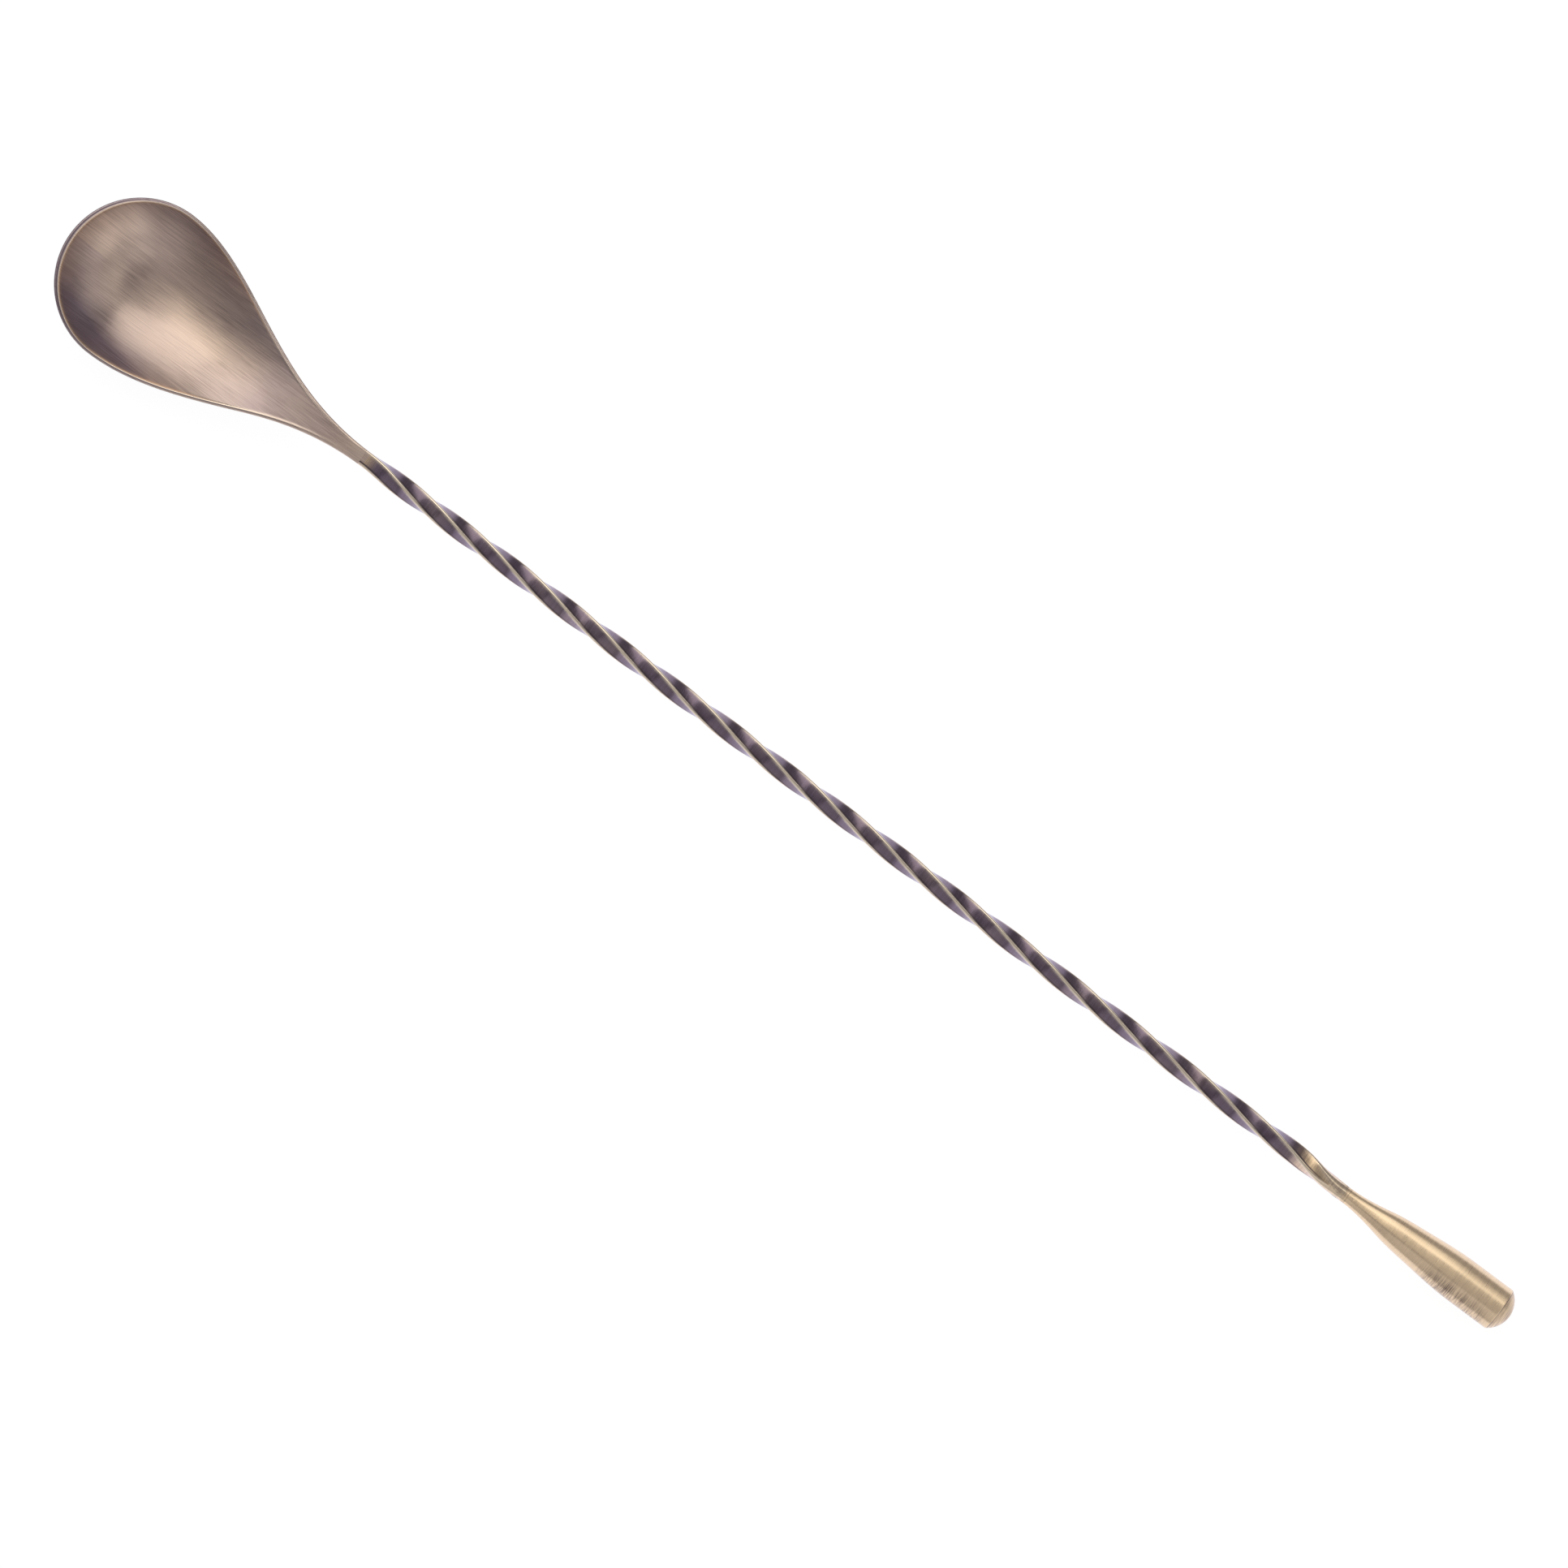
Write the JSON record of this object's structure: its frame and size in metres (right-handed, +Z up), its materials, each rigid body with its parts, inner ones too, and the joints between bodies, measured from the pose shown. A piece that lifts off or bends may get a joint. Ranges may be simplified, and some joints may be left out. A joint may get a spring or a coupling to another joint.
{
  "type": "bar spoon",
  "caption": "Long bar spoon with a teardrop bowl for measuring, a twisted square shaft for stirring and a drop-shaped counterweight that also muddles.",
  "frame": {"origin": "on the table under the middle of the spoon's bounding box, as it lies bowl up", "axes": "+X from the bowl towards the counterweight, +Z up out of the bowl's hollow, +Y across"},
  "size_m": [0.3, 0.0288, 0.0095],
  "materials": {
    "bowl_brass": "antique brass plating, brushed lengthwise",
    "shaft_brass": "antique brass plating, brushed across, ridges worn bright",
    "weight_brass": "antique brass plating, turned and brushed across",
    "weld_brass": "antique brass plating over ground weld metal"
  },
  "bodies": {
    "root": {"spoon_bowl": "bowl_brass", "bowl_weld": "weld_brass", "twisted_shaft": "shaft_brass", "weight_weld": "weld_brass", "drop_weight": "weight_brass"}
  },
  "joints": []
}
